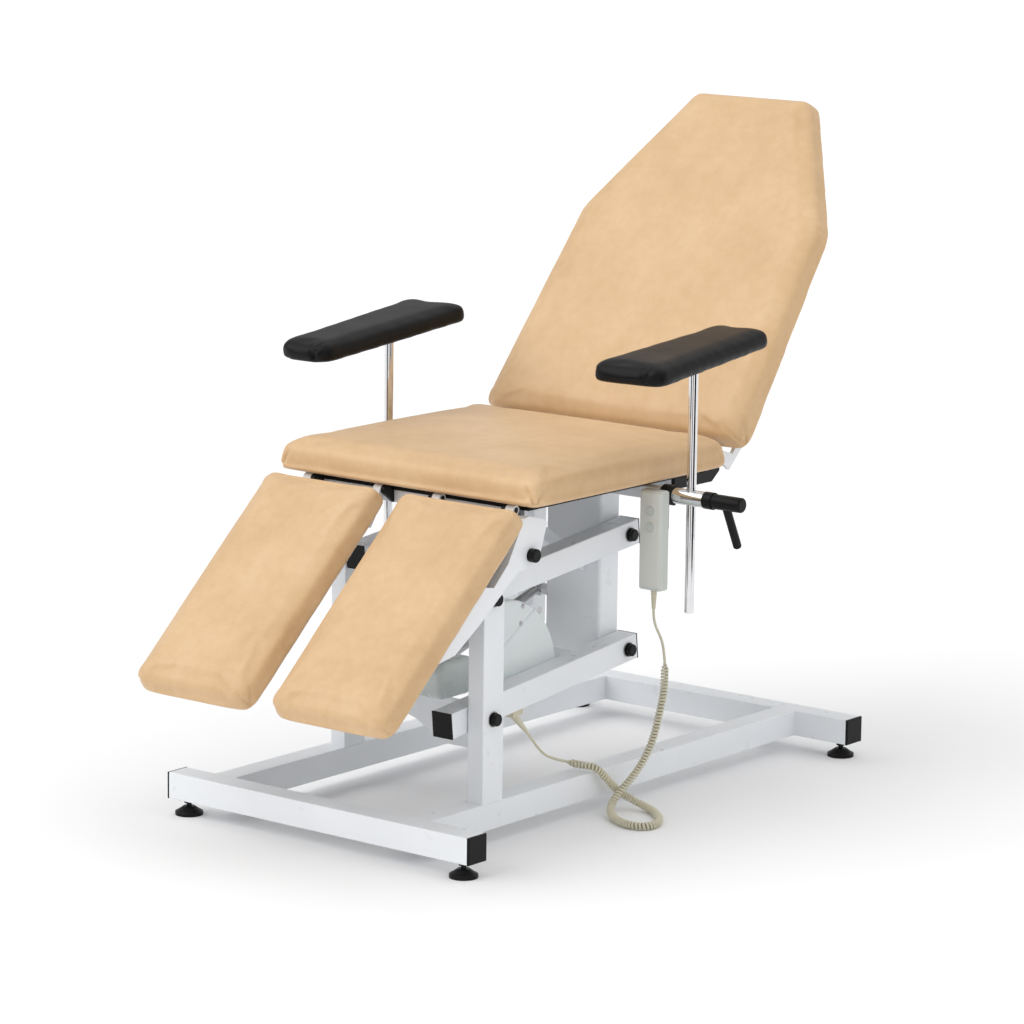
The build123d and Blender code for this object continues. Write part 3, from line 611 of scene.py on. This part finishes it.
# ---------------------------------------------------------------- hard details
FRONT_PIVOT = (-0.389, 0.234)       # Y and Z of the lower right arm's front pivot, in the drawing's own Y
LEFT_BEHIND = 0.165                 # how far the left arms' pivots stand behind the right arms'
UPPER_ABOVE = 0.220                 # how far the upper arms' pivots stand above the lower arms'
ARM_LENGTH = 0.451                  # from an arm's front pivot to its rear one
ARM_RISE = math.radians(6.1)
WASHER_INSET = 0.0128               # from a knob's outer end in to the face that its washer lies on
SLEEVE_THIN, SLEEVE_THICK = 0.0038, 0.0062


def cover_details():
    """Raised rib and two screws on the gear cover's outer face."""
    low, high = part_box("gear_cover")
    face = high.x - 0.001               # a millimetre under the surface, so that nothing floats
    foot = Vector((face, low.y + 0.012, low.z + 0.070))
    tip = Vector((face, low.y + 0.108, low.z + 0.128))
    rib = spline_object("rib_line", [foot, foot.lerp(tip, 0.5) + Vector((0, 0, 0.002)), tip], 0.0022, 8)
    rib.data.use_fill_caps = True
    rib_mesh = bpy.data.meshes.new_from_object(rib)
    add_piece("gear_cover_rib", rib_mesh, "right_lower_arm", "white_plastic")
    bpy.data.objects.remove(rib)
    screw = [(0, 0.0045), (0.0022, 0.0045), (0.0030, 0.0034), (0.0030, 0.0012), (0.0018, 0.0010)]
    for i, (y, z) in enumerate(((0.072, 0.140), (0.066, 0.108))):
        mesh = turned_mesh("screw", screw, (face, low.y + y, low.z + z), (1, 0, 0))
        add_piece(f"gear_cover_screw_{i + 1}", mesh, "right_lower_arm", "steel", smooth=False)


def washers():
    """Plated washer under each black knob, at the arms' front pivots and at their rear ones."""
    profile = [(0, 0.0150), (0.0012, 0.0150), (0.0016, 0.0144)]
    for node, body, reach in (("front_pivot_bolts", "root", 0), ("rear_pivot_knobs", "carriage", ARM_LENGTH)):
        low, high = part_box(node)
        for side, word, end, behind in ((1, "right", high.x, 0), (-1, "left", low.x, LEFT_BEHIND)):
            y = round(FRONT_PIVOT[0] + reach * math.cos(ARM_RISE) + behind, 4)
            for level, above in (("low", 0), ("high", UPPER_ABOVE)):
                z = round(FRONT_PIVOT[1] + reach * math.sin(ARM_RISE) + above, 4)
                at = (end - side * WASHER_INSET, y + SHIFT_Y * MM, z)
                mesh = turned_mesh("washer", profile, at, (side, 0, 0))
                add_piece(f"washer_{body}_{word}_{level}", mesh, body, "steel", smooth=False)


def handset_details():
    """Thin plate over the handset's face, and a ring round each of its two buttons."""
    low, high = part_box("handset_shell")
    face = rounded_box("handset_face", (low.x + 0.004, low.y - 0.0008, low.z + 0.006),
                       (high.x - 0.004, low.y + 0.0015, high.z - 0.004), 0.0009)
    add_piece("handset_face", face, "handset", "handset_face")
    for node in ("up_button", "down_button"):
        button_low, button_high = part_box(node)
        middle = (button_low + button_high) / 2
        ring = turned_mesh("ring", [(0, 0.0094), (0.0010, 0.0094), (0.0014, 0.0088), (0.0006, 0.0084)],
                           (middle.x, low.y - 0.0008, middle.z), (0, -1, 0))
        add_piece(node + "_ring", ring, "handset", "handset_plastic")


def cord_sleeve():
    """Ribbed, tapered sleeve where the cord leaves the handset, in place of a plain cone."""
    low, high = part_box("cord_relief")
    steps = 9
    profile = []
    for i in range(steps):
        share = i / (steps - 1)
        radius = SLEEVE_THIN + (SLEEVE_THICK - SLEEVE_THIN) * share
        at = (high.z - low.z) * share
        profile.append((at - 0.0012, radius * 0.86))        # the foot of a rib, then its flat top
        profile.append((at, radius))
        profile.append((at + 0.0014, radius))
    profile = [(min(max(at, 0), high.z - low.z), radius) for at, radius in profile]
    middle = (low + high) / 2
    mesh = turned_mesh("sleeve", profile, (middle.x, middle.y, low.z), (0, 0, 1))
    sleeve = add_piece("handset_sleeve", mesh, "handset", "cream_plastic", smooth=False)
    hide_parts("cord_relief")


# ---------------------------------------------------------------- stage
CARD_DISTANCE = 2.6
CARD_HEIGHT = 0.8
WORLD_LIGHT = 0.58          # how strongly the world lights; the camera sees it as plain white


def card(name, size, at, target, colour):
    """A flat matt sheet that faces its target."""
    mesh = bpy.data.meshes.new(name)
    x, y = size[0] / 2, size[1] / 2
    mesh.from_pydata([(-x, -y, 0), (x, -y, 0), (x, y, 0), (-x, y, 0)], [], [(0, 1, 2, 3)])
    obj = bpy.data.objects.new(name, mesh)
    scene.collection.objects.link(obj)
    turn = (Vector(target) - Vector(at)).to_track_quat("-Z", "Y").to_matrix().to_4x4()
    obj.matrix_world = Matrix.Translation(at) @ turn
    material, _, shader = node_material(name)
    shader.inputs["Base Color"].default_value = (*colour, 1)
    shader.inputs["Roughness"].default_value = 0.9
    shader.inputs["Specular IOR Level"].default_value = 0.0
    mesh.materials.append(material)
    return obj


def soft_sun(name, at, strength, spread):
    light = bpy.data.lights.new(name, "SUN")
    light.energy = strength
    light.angle = math.radians(spread)
    obj = bpy.data.objects.new(name, light)
    scene.collection.objects.link(obj)
    obj.rotation_euler = (-Vector(at)).to_track_quat("-Z", "Y").to_euler()


def make_stage():
    """White floor and world, soft light from three sides, and dark cards that only show in reflections."""
    card("floor", (60, 60), (0, 0, 0), (0, 0, -1), (0.93, 0.93, 0.935))
    for name, azimuth, width in (("right", 84, 1.6), ("left", -10, 1.2), ("middle", 35, 0.7)):
        a = math.radians(azimuth)
        at = (CARD_DISTANCE * math.sin(a), -CARD_DISTANCE * math.cos(a), CARD_HEIGHT)
        dark = card("dark_card_" + name, (width, 1.6), at, (0, 0, CARD_HEIGHT), (0.008, 0.008, 0.009))
        dark.visible_camera = dark.visible_diffuse = dark.visible_shadow = False
    world = bpy.data.worlds.new("world")
    world.use_nodes = True
    background = world.node_tree.nodes["Background"]
    seen = world.node_tree.nodes.new("ShaderNodeLightPath")
    level = world.node_tree.nodes.new("ShaderNodeMapRange")
    level.inputs["To Min"].default_value = WORLD_LIGHT
    level.inputs["To Max"].default_value = 1.0
    world.node_tree.links.new(seen.outputs["Is Camera Ray"], level.inputs["Value"])
    world.node_tree.links.new(level.outputs["Result"], background.inputs["Strength"])
    background.inputs["Color"].default_value = (1.0, 1.0, 1.0, 1)
    scene.world = world
    soft_sun("key", (-2.6, -4.2, 4.6), 1.35, 60)
    soft_sun("fill", (4.8, -1.6, 2.6), 0.30, 80)
    soft_sun("top", (0.4, 1.2, 4.8), 0.75, 80)
    scene.view_settings.view_transform = "Standard"


make_camera()
make_cord()
paint_cad_nodes()
seat_cushion()
leg_cushions()
back_cushion()
armrest_pads()
cover_details()
washers()
handset_details()
cord_sleeve()
make_stage()
